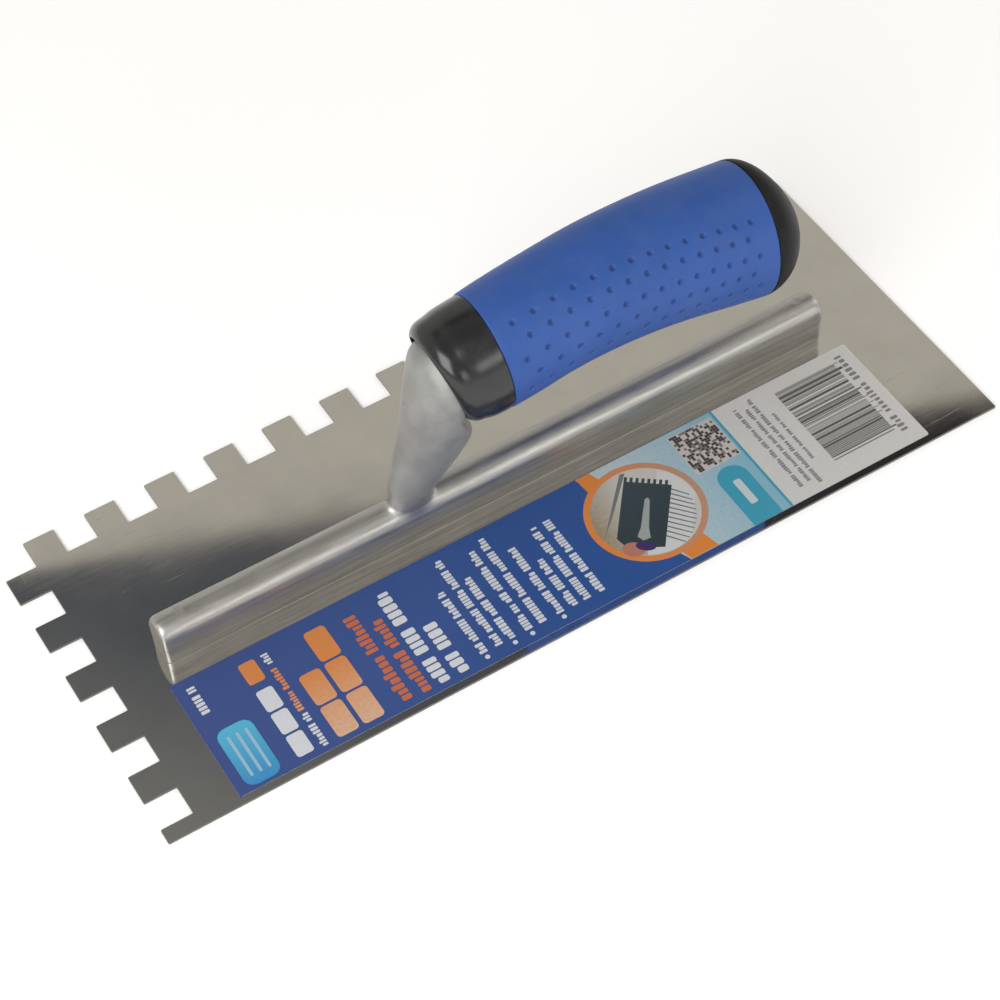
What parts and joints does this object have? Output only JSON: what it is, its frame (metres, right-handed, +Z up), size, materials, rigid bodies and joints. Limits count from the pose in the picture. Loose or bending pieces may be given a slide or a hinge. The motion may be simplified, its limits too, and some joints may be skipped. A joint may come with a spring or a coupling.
{
  "type": "notched trowel",
  "caption": "Square-notched tiling trowel: steel blade toothed on two edges, cast bar and neck, soft-grip handle, printed label.",
  "frame": {"origin": "centre of the blade's underside, the face it rests on", "axes": "+X along the blade from the notched short edge to the plain one, +Y across the blade to the notched long edge, +Z up from the blade to the handle"},
  "size_m": [0.28, 0.115, 0.0854],
  "materials": {
    "blade_steel": "bright rolled stainless sheet, near mirror, light handling marks",
    "cast_alloy": "cast and tumbled light alloy, polished along the bar, satin on the neck",
    "rivet_alloy": "ground flush with the blade",
    "collar_plastic": "glossy moulded black",
    "grip_rubber": "soft blue elastomer with rows of small dimples on both sides",
    "core_plastic": "plain moulded black",
    "cap_plastic": "satin moulded black",
    "label_print": null
  },
  "bodies": {
    "root": {"blade": "blade_steel", "shank": "cast_alloy", "rivet_1": "rivet_alloy", "rivet_2": "rivet_alloy", "rivet_3": "rivet_alloy", "rivet_4": "rivet_alloy", "rivet_5": "rivet_alloy", "rivet_6": "rivet_alloy", "rivet_7": "rivet_alloy", "front_collar": "collar_plastic", "soft_grip": "grip_rubber", "handle_core": "core_plastic", "end_cap": "cap_plastic", "label": "label_print"}
  },
  "joints": []
}
